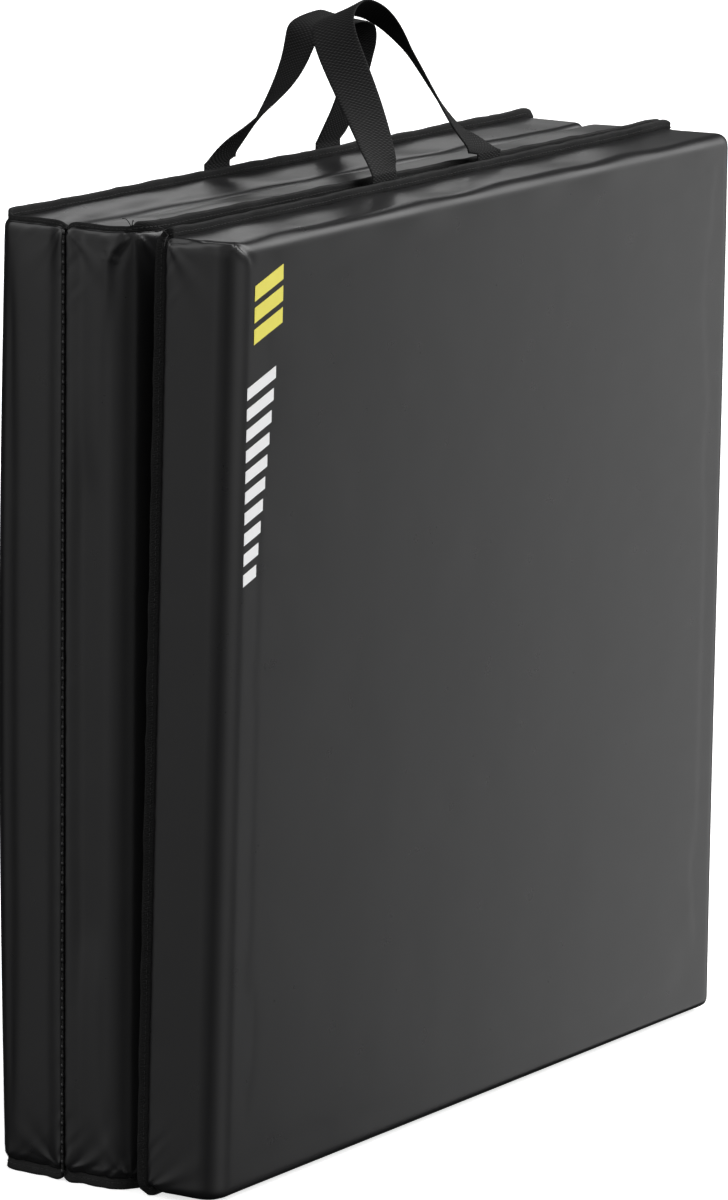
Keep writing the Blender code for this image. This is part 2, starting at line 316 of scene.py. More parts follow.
class Panel:
    """A panel drawn closed, square to the axes, and then put where it stands at rest."""

    def __init__(self, name, low_y, high_y, base_sides, splay=0.0, twist=0.0, stray=0.0, belly=0.0):
        self.name = name
        self.low = np.array((-WIDTH / 2, low_y, BOTTOM))
        self.high = np.array((WIDTH / 2, high_y, TOP))
        self.base_sides = base_sides
        self.splay = splay
        self.twist = twist
        self.stray = stray
        self.belly = belly

    def is_base(self, side):
        return side in self.base_sides

    def bulge(self, side):
        """How far a side may swell out of its box."""
        if side in ("left", "right"):
            return WALL_BULGE
        if side == "top":
            return TOP_BULGE
        if side == "bottom":
            return BOTTOM_BULGE
        exposed = (self.name, side) in (("front", "front"), ("rear", "back"))
        return BROAD_BULGE if exposed else CONTACT_BULGE

    def edge_radius(self, side_x, side_y):
        """Radius of the upright edge between two sides: small where a seam or a fold runs up it."""
        if self.is_base(side_x) != self.is_base(side_y):
            return SEAM_RADIUS
        if self.name == "middle" and side_y == "front":
            return INNER_EDGE_RADIUS
        if self.name == "front" and (side_x, side_y) == ("left", "front"):
            return OUTER_EDGE_RADIUS
        return EDGE_RADIUS

    def crown_radius(self, side, level):
        """Radius where an upright side meets the top or the bottom."""
        if self.is_base(side):
            return SEAM_RADIUS
        if self.name == "front" and side == "front" and level == "top":
            return SOFT_CROWN_RADIUS
        return CROWN_RADIUS

    def place(self, points):
        """Closed to standing: the top right strays, and the front panel is splayed and twisted."""
        points = np.array(points, float)
        reach = (points[:, 0] + WIDTH / 2) / WIDTH
        height = (points[:, 2] - BOTTOM) / (TOP - BOTTOM)
        from_fold = (points[:, 1] - self.low[1]) / (self.high[1] - self.low[1])
        if self.splay:
            from_fold = 1 - from_fold
        held_by_fold = 1.0 if self.name == "rear" else smooth(from_fold)
        points[:, 0] += self.stray * smooth(reach) * smooth(height) * held_by_fold
        points[:, 1] += self.belly * smooth(1 - reach) * smooth(from_fold) * np.sin(pi * np.clip(height, 0, 1))
        if self.splay:
            points[:, 1] -= self.twist * (1 - reach) * (height * 2 - 1)
            offset = points[:, :2] - np.array(RIGHT_FOLD.xy)
            turn = np.array(((cos(self.splay), sin(self.splay)), (-sin(self.splay), cos(self.splay))))
            points[:, :2] = offset @ turn + np.array(RIGHT_FOLD.xy)
        return points


rear = Panel("rear", rear_low.y, rear_high.y, ("back", "left"), stray=REAR_TOP_STRAY, belly=REAR_BELLY)
middle = Panel("middle", middle_low.y, middle_high.y, ("front", "left"), stray=MIDDLE_TOP_STRAY)
gap = rear_low.y - middle_high.y
front = Panel(
    "front",
    middle_low.y - gap - THICKNESS,
    middle_low.y - gap,
    ("back",),
    FRONT_SPLAY,
    FRONT_TWIST,
    FRONT_TOP_STRAY,
)


def box_grid(panel):
    """The panel's box as a closed grid: points, quads, and the side each quad lies on."""
    lines = (
        spaced(panel.low[0], panel.high[0]),
        np.linspace(panel.low[1], panel.high[1], THICKNESS_STEPS + 1),
        spaced(panel.low[2], panel.high[2]),
    )
    counts = [len(line) - 1 for line in lines]
    index = {}
    points = []

    def vertex(key):
        if key not in index:
            index[key] = len(points)
            points.append([lines[axis][key[axis]] for axis in range(3)])
        return index[key]

    quads = []
    sides = []
    for axis in range(3):
        first, second = [other for other in range(3) if other != axis]
        for end in (0, 1):
            side = SIDES[axis * 2 + end]
            flip = (end == 0) != (axis == 1)
            for i in range(counts[first]):
                for j in range(counts[second]):
                    corners = []
                    for di, dj in ((0, 0), (1, 0), (1, 1), (0, 1)):
                        key = [0, 0, 0]
                        key[axis] = end * counts[axis]
                        key[first] = i + di
                        key[second] = j + dj
                        corners.append(vertex(tuple(key)))
                    quads.append(corners[::-1] if flip else corners)
                    sides.append(side)
    return np.array(points), quads, sides


def rounded(panel, points):
    """Rounds a square box's points: upright edges in plan first, then the top and bottom ones."""
    points = points.copy()
    out = np.zeros((len(points), 2))
    depth_x = np.minimum(points[:, 0] - panel.low[0], panel.high[0] - points[:, 0])
    depth_y = np.minimum(points[:, 1] - panel.low[1], panel.high[1] - points[:, 1])
    side_x = np.where(points[:, 0] < 0, "left", "right")
    mid_y = (panel.low[1] + panel.high[1]) / 2
    side_y = np.where(points[:, 1] < mid_y, "front", "back")
    sign_x = np.where(side_x == "left", -1.0, 1.0)
    sign_y = np.where(side_y == "front", -1.0, 1.0)
    depth = np.minimum(depth_x, depth_y)
    turn = np.where(depth_y < depth_x, 1.0, 0.0)
    out[:, 0] = np.where(turn == 0, sign_x, 0)
    out[:, 1] = np.where(turn == 1, sign_y, 0)
    for name_x in ("left", "right"):
        for name_y in ("front", "back"):
            radius = panel.edge_radius(name_x, name_y)
            near = (side_x == name_x) & (side_y == name_y) & (depth_x < radius) & (depth_y < radius)
            reach_x = radius - depth_x[near]
            reach_y = radius - depth_y[near]
            ring = np.maximum(np.maximum(reach_x, reach_y), 1e-9)
            share = np.where(reach_x >= reach_y, reach_y / ring, 2 - reach_x / ring) / 2
            angle = share * pi / 2
            direction = np.stack((np.cos(angle) * sign_x[near], np.sin(angle) * sign_y[near]), 1)
            corner_x = panel.low[0] if name_x == "left" else panel.high[0]
            corner_y = panel.low[1] if name_y == "front" else panel.high[1]
            signs = np.stack((sign_x[near], sign_y[near]), 1)
            centre = np.array((corner_x, corner_y)) - signs * radius
            points[near, :2] = centre + direction * ring[:, None]
            out[near] = direction
            turn[near] = smooth(share)
    for level, height_of, sign in (("bottom", panel.low[2], -1.0), ("top", panel.high[2], 1.0)):
        radius_x = np.array([panel.crown_radius(name, level) for name in side_x])
        radius_y = np.array([panel.crown_radius(name, level) for name in side_y])
        radius = radius_x * (1 - turn) + radius_y * turn
        height = np.abs(points[:, 2] - height_of)
        near = (height < radius) & (depth < radius)
        r = radius[near]
        reach_out = r - depth[near]
        reach_up = r - height[near]
        share = np.where(reach_out >= reach_up, reach_up / reach_out, 2 - reach_out / reach_up) / 2
        angle = share * pi / 2
        ring = np.maximum(reach_out, reach_up)
        points[near, :2] += out[near] * (ring * np.cos(angle) - reach_out)[:, None]
        points[near, 2] += sign * (ring * np.sin(angle) - reach_up)
    return points


# ---------------------------------------------------------------- cloth


def inflate(panel, points, quads, seams):
    """Cloth simulation of the closed cover, held along its seams and pushed out by the padding."""
    piece = make_mesh(f"{panel.name}_cloth", points, quads)
    pins = piece.vertex_groups.new(name="pins")
    pins.add([int(i) for i in np.flatnonzero(seams)], 1.0, "REPLACE")
    loose = piece.vertex_groups.new(name="loose")
    edge_gap = np.minimum(points - panel.low, panel.high - points)
    near = np.sort(edge_gap, axis=1)[:, 1]
    for i, weight in enumerate(1 - smooth(near / (30 * MM))):
        loose.add([i], float(weight), "REPLACE")
    cloth = piece.modifiers.new("cloth", "CLOTH")
    settings = cloth.settings
    settings.quality = 6
    settings.mass = 0.3
    settings.tension_stiffness = 20
    settings.compression_stiffness = 20
    settings.shear_stiffness = 8
    settings.bending_stiffness = 0.6
    settings.use_pressure = True
    settings.uniform_pressure_force = 4
    settings.vertex_group_mass = "pins"
    settings.vertex_group_shrink = "loose"
    settings.shrink_min = 0.0
    settings.shrink_max = -0.012
    settings.effector_weights.gravity = 0
    cloth.collision_settings.use_collision = False
    cloth.collision_settings.use_self_collision = False
    scene = bpy.context.scene
    for step in range(1, 21):
        scene.frame_set(step)
    settled = piece.evaluated_get(bpy.context.evaluated_depsgraph_get())
    moved = coordinates(settled.data)
    piece.modifiers.remove(cloth)
    bpy.data.objects.remove(piece)
    scene.frame_set(1)
    return moved


def held(panel, points, moved, normals, reach):
    """Keeps the simulated swelling within what the foam and the neighbours allow."""
    shift = moved - points
    out = (shift * normals).sum(1)
    slide = shift - normals * out[:, None]
    limit = np.zeros(len(points))
    for side, normal in SIDE_NORMALS.items():
        facing = np.clip(normals @ np.array(normal, float), 0, 1) ** 2
        limit += facing * panel.bulge(side)
    out = np.where(out > 0, limit * np.tanh(out / np.maximum(limit, 1e-6)), np.maximum(out, -DENT_SHARE * limit))
    broad = smooth(np.abs(normals[:, 1]) * 2 - 1)
    slide_limit = 0.8 * MM * (1 - broad) + BROAD_SLIDE * broad
    slide *= np.minimum(1, slide_limit / np.maximum(np.linalg.norm(slide, axis=1), 1e-9))[:, None]
    return points + normals * out[:, None] + slide * smooth(reach / (6 * MM))[:, None]


# ---------------------------------------------------------------- gathers, fans and creases


def line_distance(points, start, end):
    """Distance to a straight stretch, the share of the way along it, and the offset from it."""
    start = np.array(start, float)
    run = np.array(end, float) - start
    share = np.clip((points - start) @ run / (run @ run), 0, 1)
    offset = points - start - share[:, None] * run
    return np.linalg.norm(offset, axis=1), share, offset


def puckers(panel, square, normals, reach):
    """Small gathers along the seams, in patches, and deeper along the lower seam."""
    along = square.sum(1)
    patch = 0.5 + 0.5 * ripple(along, 110 * MM, 3)
    wave = ripple(along, PUCKER_LENGTH, 1)
    lower = 1 - smooth((square[:, 2] - panel.low[2]) / (30 * MM))
    gain = 1 + (LOWER_PUCKER_GAIN - 1) * lower
    height = PUCKER_HEIGHT * gain * (0.35 + 0.65 * patch) * np.exp(-reach / PUCKER_REACH)
    return normals * (height * wave)[:, None]


def fan(square, normals, centre, spokes, seed):
    """Folds that spread from a point where the fabric is drawn together."""
    offset = square - np.array(centre, float)
    distance = np.linalg.norm(offset, axis=1)
    angle = np.arctan2(np.abs(offset[:, 2]), np.hypot(offset[:, 0], offset[:, 1]))
    wave = np.sin(angle * spokes * 2 + seed) + 0.5 * np.sin(angle * spokes * 3.3 + seed * 2)
    height = FAN_HEIGHT * np.exp(-distance / FAN_REACH) * smooth(distance / (5 * MM))
    return normals * (height * wave / 1.5)[:, None]


def crease(square, normals, start, end, rise, width, fade_in, fade_out):
    """A ridge, or with a negative rise a valley, along a straight stretch."""
    start = np.array(start, float)
    run = np.array(end, float) - start
    share = np.clip((square - start) @ run / (run @ run), 0, 1)
    distance = np.linalg.norm(square - start - share[:, None] * run, axis=1)
    ramp = smooth(share / fade_in) * smooth((1 - share) / fade_out)
    return normals * (rise * np.exp(-((distance / width) ** 2)) * ramp)[:, None]


def boxed_corner(panel, square, normals):
    """The crease along the front panel's top left edge, which runs on down onto its broad face."""
    low, high = panel.low, panel.high
    back_corner = np.array((low[0], high[1], high[2]))
    edge_third = np.array((low[0], high[1] - THICKNESS * 0.42, high[2]))
    front_corner = np.array((low[0], low[1], high[2]))
    face_point = np.array((low[0] + 19 * MM, low[1], high[2] - 15 * MM))
    above = np.array((4.5 * MM, 0, 0))
    shift = crease(square, normals, back_corner, edge_third, -1.6 * MM, 2.2 * MM, 0.05, 0.4)
    shift += crease(square, normals, edge_third, front_corner, 1.7 * MM, 2.6 * MM, 0.4, 0.01)
    shift += crease(square, normals, front_corner, face_point, 1.7 * MM, 2.6 * MM, 0.01, 0.9)
    shift -= crease(square, normals, edge_third + above, front_corner + above, 1.3 * MM, 3.2 * MM, 0.2, 0.01)
    shift -= crease(square, normals, front_corner + above, face_point + above, 1.1 * MM, 3.2 * MM, 0.01, 0.8)
    return shift


def pulled_corner(panel, square, normals):
    """The fold that runs down the middle panel's left wall from its top front corner."""
    low, high = panel.low, panel.high
    start = np.array((low[0], low[1] + 7 * MM, high[2]))
    bend = np.array((low[0], low[1] + 20 * MM, high[2] - 15 * MM))
    end = np.array((low[0], low[1] + 21 * MM, high[2] - 60 * MM))
    inner = np.array((0, -7 * MM, -3 * MM))
    shift = crease(square, normals, start, bend, 0.9 * MM, 3.6 * MM, 0.1, 0.01)
    shift += crease(square, normals, bend, end, 0.8 * MM, 4.6 * MM, 0.01, 0.9)
    shift -= crease(square, normals, start + inner, bend + inner, 0.5 * MM, 4.6 * MM, 0.1, 0.01)
    shift -= crease(square, normals, bend + inner, end + inner, 0.4 * MM, 4.8 * MM, 0.01, 0.9)
    return shift


def gathers(panel, square, normals, reach):
    """Everything that the sewing does to the cover of one panel."""
    shift = puckers(panel, square, normals, reach)
    low, high = panel.low, panel.high
    back = high[1]
    front = low[1]
    if panel.name != "front":
        fold_y = front if panel.name == "rear" else back
        shift += fan(square, normals, (low[0], fold_y, high[2]), 5, 0.4)
        shift += fan(square, normals, (low[0], fold_y, low[2]), 5, 1.9)
    if panel.name == "middle":
        shift += pulled_corner(panel, square, normals)
        shift += fan(square, normals, (low[0], front, high[2]), 4, 2.3)
        shift += fan(square, normals, (low[0], front, low[2]), 4, 0.9)
    if panel.name == "front":
        shift += fan(square, normals, (low[0], back, high[2]), 4, 1.2)
        shift += fan(square, normals, (low[0], back, low[2]), 5, 2.6)
        shift += boxed_corner(panel, square, normals)
    if panel.name != "rear":
        fold_y = front if panel.name == "middle" else back
        shift += fan(square, normals, (high[0], fold_y, high[2]), 4, 0.7)
        shift += fan(square, normals, (high[0], fold_y, low[2]), 4, 1.5)
    return shift


def finer(points, square, quads, sides):
    """Subdivides a cover once, keeping each point's place on the square box and each quad's side."""
    piece = make_mesh("fine_cover", points, quads)
    places = piece.data.attributes.new("square", "FLOAT_VECTOR", "POINT")
    places.data.foreach_set("vector", square.astype(np.float32).ravel())
    numbers = piece.data.attributes.new("side", "INT", "FACE")
    numbers.data.foreach_set("value", np.array([SIDES.index(side) for side in sides], np.int32))
    subdivision = piece.modifiers.new("fineness", "SUBSURF")
    subdivision.levels = subdivision.render_levels = 1
    mesh = piece.evaluated_get(bpy.context.evaluated_depsgraph_get()).data
    fine_points = coordinates(mesh)
    fine_square = np.zeros(len(mesh.vertices) * 3, np.float32)
    mesh.attributes["square"].data.foreach_get("vector", fine_square)
    corners = np.zeros(len(mesh.loops), np.int32)
    mesh.loops.foreach_get("vertex_index", corners)
    fine_sides = np.zeros(len(mesh.polygons), np.int32)
    mesh.attributes["side"].data.foreach_get("value", fine_sides)
    bpy.data.objects.remove(piece)
    named_sides = [SIDES[number] for number in fine_sides]
    return fine_points, fine_square.reshape(-1, 3).astype(float), corners.reshape(-1, 4), named_sides


# ---------------------------------------------------------------- covers


class Cover:
    """One panel's finished cover, closed and unplaced: points, quads, sides, and its seam lines."""

    def __init__(self, panel):
        self.panel = panel
        square, quads, sides = box_grid(panel)
        points = rounded(panel, square)
        seams = self.seam_points(quads, sides, len(points))
        reach = self.seam_distance(points, seams)
        moved = inflate(panel, points, quads, seams)
        points = held(panel, points, moved, point_normals(points, quads), reach)
        points, self.square, self.quads, self.sides = finer(points, square, quads, sides)
        self.on_side = {side: np.zeros(len(points), bool) for side in SIDES}
        for quad, side in zip(self.quads, self.sides):
            self.on_side[side][quad] = True
        seams = self.seam_points(self.quads, self.sides, len(points))
        reach = self.seam_distance(points, seams)
        normals = point_normals(points, self.quads)
        points = points + gathers(panel, self.square, normals, reach)
        self.points = self.wandering(self.drawn_to_folds(self.drawn_to_seams(points)))

    def seam_points(self, quads, sides, count):
        """True for each point where the base sheet meets the face sheet."""
        in_base = np.zeros(count, bool)
        in_face = np.zeros(count, bool)
        for quad, side in zip(quads, sides):
            if self.panel.is_base(side):
                in_base[quad] = True
            else:
                in_face[quad] = True
        return in_base & in_face

    def seam_distance(self, points, seams):
        tree = KDTree(int(seams.sum()))
        for index in np.flatnonzero(seams):
            tree.insert(points[index], int(index))
        tree.balance()
        return np.array([tree.find(point)[2] for point in points])

    def drawn_to_seams(self, points):
        """Draws the top seams in a little, and the lower ones up and in."""
        panel = self.panel
        square = self.square
        rise = square[:, 2] - panel.low[2]
        drop = panel.high[2] - square[:, 2]
        points[:, 2] = np.maximum(points[:, 2], panel.low[2] - BOTTOM_BULGE)
        total_lift = np.zeros(len(points))
        for side in panel.base_sides:
            axis = 0 if side in ("left", "right") else 1
            end = panel.low if side in ("left", "front") else panel.high
            sign = 1 if side in ("left", "front") else -1
            near = 1 - smooth(np.abs(square[:, axis] - end[axis]) / (12 * MM))
            total_lift = np.maximum(total_lift, SEAM_LIFT * near * (1 - smooth(rise / SEAM_LIFT_REACH)))
            inset = BOTTOM_SEAM_INSET * near * (1 - smooth(rise / (7 * MM)))
            inset += TOP_SEAM_INSET * near * (1 - smooth(drop / (6 * MM)))
            points[:, axis] += sign * inset
        points[:, 2] += total_lift
        return points

    def drawn_to_folds(self, points):
        """Draws each folded edge out to its cord, and closes the gap to its neighbour."""
        panel = self.panel
        folds = []
        if panel.name != "front":
            folds.append((panel.low[0], -1, panel.low[1] if panel.name == "rear" else panel.high[1]))
        if panel.name != "rear":
            folds.append((panel.high[0], 1, panel.low[1] if panel.name == "middle" else panel.high[1]))
        for edge_x, outward, edge_y in folds:
            side_gap = np.abs(self.square[:, 0] - edge_x)
            fold_gap = np.abs(self.square[:, 1] - edge_y)
            near = 1 - smooth(np.hypot(side_gap, fold_gap) / FOLD_DRAW_REACH)
            points[:, 0] += outward * abs(FOLD_DRAW) * near
            towards = 1 if edge_y == panel.high[1] else -1
            closing = (1 - smooth(side_gap / (6 * MM))) * (1 - smooth(fold_gap / (6 * MM)))
            points[:, 1] += towards * FOLD_CLOSING * closing
        return points

    def wandering(self, points):
        """Lets the top edges wander, those of two neighbours together, and sag between them."""
        panel = self.panel
        x, y, z = self.square.T
        near_top = 1 - smooth((panel.high[2] - z) / WANDER_DEPTH)
        ends = smooth((x - panel.low[0]) / (50 * MM)) * smooth((panel.high[0] - x) / (50 * MM))
        back_share = (y - panel.low[1]) / THICKNESS
        front_seed, back_seed = WANDER_SEEDS[panel.name]
        front_wave = ripple(x, WANDER_LENGTH, front_seed)
        back_wave = ripple(x, WANDER_LENGTH, back_seed)
        if panel.name == "front":
            front_wave = front_wave * 0.35
        drift = front_wave * (1 - back_share) + back_wave * back_share
        points[:, 1] += WANDER * drift * near_top * ends
        front_sag = 0.0 if panel.name == "front" else 0.5 + 0.5 * front_wave
        sag = front_sag * (1 - back_share) ** 3 + (0.5 + 0.5 * back_wave) * back_share**3
        swell = ripple(x, SWELL_LENGTH, front_seed + back_seed) * 4 * back_share * (1 - back_share)
        points[:, 2] += (SWELL * swell - SAG * sag) * near_top * ends
        return points

    def edge(self, first, second, axis, backwards=False):
        """The points where two sides meet, in order along an axis."""
        chosen = np.flatnonzero(self.on_side[first] & self.on_side[second])
        order = np.argsort(self.square[chosen, axis])
        chosen = chosen[order]
        return self.points[chosen[::-1] if backwards else chosen]

    def sheet(self, name, wanted):
        """The part of the cover on the wanted sides, as a thin sheet of vinyl."""
        panel = self.panel
        placed = panel.place(self.points)
        keep = [quad for quad, side in zip(self.quads, self.sides) if side in wanted]
        used = np.unique(np.array(keep))
        renumber = np.zeros(len(placed), int)
        renumber[used] = np.arange(len(used))
        piece = make_mesh(name, placed[used], renumber[np.array(keep)])
        skin = piece.modifiers.new("skin", "SOLIDIFY")
        skin.thickness = VINYL_THICKNESS
        skin.offset = -1
        return piece

    def foam(self, name):
        """The foam block inside, which the cover follows."""
        normals = point_normals(self.points, self.quads)
        inner = self.points - normals * (VINYL_THICKNESS + FOAM_GAP)
        return make_mesh(name, self.panel.place(inner), self.quads)


covers = {panel.name: Cover(panel) for panel in (rear, middle, front)}
face_sheets = {}
for name, cover in covers.items():
    base_sides = cover.panel.base_sides
    face_sides = [side for side in SIDES if side not in base_sides]
    face_sheets[name] = cover.sheet(f"{name}_face_sheet", face_sides)
    base_sheet = cover.sheet(f"{name}_base_sheet", base_sides)
    foam = cover.foam(f"{name}_foam_block")
    for piece, node, slot in (
        (face_sheets[name], f"{name}_face_cover", "vinyl"),
        (base_sheet, f"{name}_base_cover", "vinyl"),
        (foam, f"{name}_foam_core", "foam"),
    ):
        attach(piece, name)
        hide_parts(node)


# ---------------------------------------------------------------- bound flanges and stitching


def flange_section():
    """Half-round edged strip, as shares of its height and thickness."""
    section = [(-0.32, 0.40), (0.30, 0.46), (0.55, 0.50), (0.82, 0.54), (0.95, 0.42), (1.0, 0.18)]
    section += [(height, -depth) for height, depth in reversed(section)]
    return section


def extended(values, count):
    """Carries both ends of a run of rows on in a straight line."""
    steps = np.arange(1, count + 1)[:, None]
    before = values[:1] - steps[::-1] * (values[1:2] - values[:1])
    after = values[-1:] + steps * (values[-1:] - values[-2:-1])
    return np.concatenate([before, values, after])


class Flange:
    """A bound seam flange that follows a run of edges on a cover.

    Each stretch is (points, out, facing, share): the way the flange stands, the way its tape
    faces, and the share of the full height that it stands up.
    """

    def __init__(self, panel, stretches, seed):
        self.panel = panel
        line, rows = [], []
        for points, out, facing, share in stretches:
            line.extend(points)
            rows.extend([(*out, *facing, share)] * len(points))
        line = np.array(line)
        keep = np.concatenate([[True], np.linalg.norm(np.diff(line, axis=0), axis=1) > 1e-5])
        line = line[keep]
        rows = np.array(rows, float)[keep]
        clear = line[:, 0] < RIGHT_FOLD.x - FLANGE_FOLD_GAP
        meets_fold = ~clear[[0, -1]]
        line, rows = line[clear], rows[clear]
        if not meets_fold[0]:
            line = np.concatenate([line[:1] + unit(line[:1] - line[1:2]) * FLANGE_OVERRUN, line])
            rows = np.concatenate([rows[:1], rows])
        if not meets_fold[1]:
            line = np.concatenate([line, line[-1:] + unit(line[-1:] - line[-2:-1]) * FLANGE_OVERRUN])
            rows = np.concatenate([rows, rows[-1:]])
        reach = np.concatenate([[0], np.cumsum(np.linalg.norm(np.diff(line, axis=0), axis=1))])
        sampled, self.along = resample(line, 2.2 * MM)
        blur = np.arange(-5, 6)
        weights = np.exp(-((blur / 1.4) ** 2))
        weights /= weights.sum()

        def spread(values):
            padded = extended(values, 5)
            columns = [np.convolve(padded[:, k], weights, "valid") for k in range(values.shape[1])]
            return np.stack(columns, 1)

        self.line = spread(sampled)
        rows = spread(np.stack([np.interp(self.along, reach, rows[:, k]) for k in range(7)], 1))
        self.out = unit(rows[:, :3])
        facing = rows[:, 3:6] - self.out * (rows[:, 3:6] * self.out).sum(1, keepdims=True)
        self.facing = unit(facing)
        self.sway = 0.5 * MM * ripple(self.along, 74 * MM, seed)
        self.sway += 0.22 * MM * ripple(self.along, 19 * MM, seed + 1)
        self.height = FLANGE_HEIGHT * rows[:, 6] * (1 + 0.05 * ripple(self.along, 47 * MM, seed + 2))

    def at(self, height, depth):
        """Points at a share of the height and a distance from the middle of the thickness."""
        lean = self.facing * (self.sway * max(height, 0))[:, None]
        rise = self.out * (self.height * height)[:, None]
        return self.line + rise + self.facing * (depth - FLANGE_THICKNESS / 2) + lean

    def strip(self, name):
        section = flange_section()
        rows = [self.at(height, depth * FLANGE_THICKNESS) for height, depth in section]
        rings = np.stack(rows, 1)
        points = self.panel.place(rings.reshape(-1, 3))
        faces = tube_faces(len(self.line), len(section))
        piece = make_mesh(name, points, faces)
        bm = bmesh.new()
        bm.from_mesh(piece.data)
        bmesh.ops.recalc_face_normals(bm, faces=bm.faces)
        bm.to_mesh(piece.data)
        bm.free()
        return piece

    def stitches(self, soup):
        """A row of stitches on both faces of the tape."""
        for face in (-1, 1):
            row = self.at(0.42, face * FLANGE_THICKNESS * 0.47)
            add_stitches(soup, self.panel.place(row), SEAM_STITCH)


def add_stitches(soup, line, kind):
    """Short rounded stitches in a row along a line; their kind is (pitch, length, radius)."""
    pitch, length, radius = kind
    centres, _ = resample(line, pitch)
    directions = tangents(centres)
    profile = ((-0.5, 0.35), (-0.36, 0.9), (0.0, 1.0), (0.36, 0.9), (0.5, 0.35))
    sides = 6
    for centre, direction in zip(centres, directions):
        first = np.cross(direction, UP if abs(direction[2]) < 0.9 else (1.0, 0.0, 0.0))
        first /= np.linalg.norm(first)
        second = np.cross(direction, first)
        ring_points = []
        for reach, width in profile:
            for side in range(sides):
                angle = side * 2 * pi / sides
                spoke = first * cos(angle) + second * sin(angle)
                ring_points.append(centre + direction * reach * length + spoke * radius * width)
        soup.add(ring_points, tube_faces(len(profile), sides))


DOWN = (0, 0, -1)
TOPWARD = (0, 0, 1)
LEFTWARD = (-1, 0, 0)
RIGHTWARD = (1, 0, 0)
FORWARD = (0, -1, 0)
BACKWARD = (0, 1, 0)
HANGING = (-0.38, 0, -1)
LEANING = (0.35, 0, 1)
TURNED_BACK = (-0.45, 0.89, 0)
TURNED_FACE = (-0.89, -0.45, 0)

rear_edge = covers["rear"].edge
middle_edge = covers["middle"].edge
front_edge = covers["front"].edge
flanges = {
    "rear_edge_tape": (
        Flange(
            rear,
            (
                (rear_edge("left", "top", 1), LEANING, LEFTWARD, 0.6),
                (rear_edge("back", "top", 0), TOPWARD, BACKWARD, 1),
                (rear_edge("right", "back", 2, True), RIGHTWARD, BACKWARD, 1),
                (rear_edge("back", "bottom", 0, True), DOWN, BACKWARD, 1),
                (rear_edge("left", "bottom", 1, True), HANGING, LEFTWARD, 1),
            ),
            1,
        ),
        "rear_edge_binding",
    ),
    "middle_top_tape": (
        Flange(
            middle,
            (
                (middle_edge("left", "top", 1, True), LEANING, LEFTWARD, 0.6),
                (middle_edge("front", "top", 0), TOPWARD, FORWARD, 1),
            ),
            2,
        ),
        "middle_top_binding",
    ),
    "middle_bottom_tape": (
        Flange(
            middle,
            (
                (middle_edge("left", "bottom", 1, True), HANGING, LEFTWARD, 1),
                (middle_edge("front", "bottom", 0), DOWN, FORWARD, 1),
            ),
            3,
        ),
        "middle_bottom_binding",
    ),
    "front_edge_tape": (
        Flange(
            front,
            (
                (front_edge("back", "top", 0, True), TOPWARD, BACKWARD, 1),
                (front_edge("left", "back", 2, True), TURNED_BACK, TURNED_FACE, 1),
                (front_edge("back", "bottom", 0), DOWN, BACKWARD, 1),
            ),
            4,
        ),
        "front_edge_binding",
    ),
}
for name, (flange, node) in flanges.items():
    tape = flange.strip(name)
    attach(tape, flange.panel.name)
    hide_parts(node)
    seam_stitches = Soup()
    flange.stitches(seam_stitches)
    stitching = seam_stitches.make(f"{name}_stitches")
    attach(stitching, flange.panel.name)


def hinge_stitching(name, node, fold, outward):
    """The cord on a fold line, and the bits of vinyl that its stitches draw together over it."""
    heights = np.arange(BOTTOM + 4 * MM, TOP - 1 * MM, 2.5 * MM)
    line = np.stack((np.full_like(heights, fold.x), np.full_like(heights, fold.y), heights), 1)
    line[:, 1] += 0.12 * MM * ripple(heights, 31 * MM, 5)
    sides = 8
    ring_points = []
    for point in line:
        for side in range(sides):
            angle = side * 2 * pi / sides
            ring_points.append(point + WELT_RADIUS * np.array((cos(angle), sin(angle), 0)))
    soup = Soup()
    soup.add(ring_points, tube_faces(len(line), sides))
    piece = soup.make(f"{name}_stitching")
    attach(piece, "middle")
    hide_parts(node)
    ties = Soup()
    add_stitches(ties, line + np.array((outward * TIE_OUT, 0, 0)), HINGE_TIE)
    piece = ties.make(f"{name}_ties")
    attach(piece, "middle")


hinge_stitching("left_hinge", "left_hinge_seam", LEFT_FOLD, -1)
hinge_stitching("right_hinge", "right_hinge_seam", RIGHT_FOLD, 1)


def thread_ends(name, panel, start, ends):
    """Loose thread ends left where two seams meet."""
    soup = Soup()
    sides = 6
    for number, end in enumerate(ends):
        side_step = Vector((0.8 * MM * number, 0, 0))
        begin = Vector(start) + side_step
        bend = (begin + Vector(end)) / 2 + Vector((0, 0, 2.5 * MM))
        line = np.array([tuple(p) for p in interpolate_bezier(begin, bend, bend, Vector(end), 10)])
        heading = tangents(line)
        ring_points = []
        for point, direction in zip(line, heading):
            first = unit(np.cross(direction, (0.3, 0.5, 0.81)))
            second = np.cross(direction, first)
            for side in range(sides):
                angle = side * 2 * pi / sides
                ring_points.append(point + 0.28 * MM * (first * cos(angle) + second * sin(angle)))
        soup.add(panel.place(np.array(ring_points)), tube_faces(len(line), sides))
    piece = soup.make(name)
    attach(piece, panel.name)


front_bunch = front_edge("left", "back", 2)[-1] + np.array((-1 * MM, 1 * MM, 3 * MM))
thread_ends(
    "front_corner_threads",
    front,
    front_bunch,
    (
        front_bunch + np.array((-6, 3, 5)) * MM,
        front_bunch + np.array((-3, 7, 2)) * MM,
        front_bunch + np.array((-5, -1, -7)) * MM,
    ),
)
middle_bunch = middle_edge("left", "top", 1)[0] + np.array((-0.5 * MM, 1 * MM, 4 * MM))
thread_ends(
    "middle_corner_threads",
    middle,
    middle_bunch,
    (
        middle_bunch + np.array((-4, 4, 5)) * MM,
        middle_bunch + np.array((-3, -4, 4)) * MM,
    ),
)


# ---------------------------------------------------------------- webbing handles


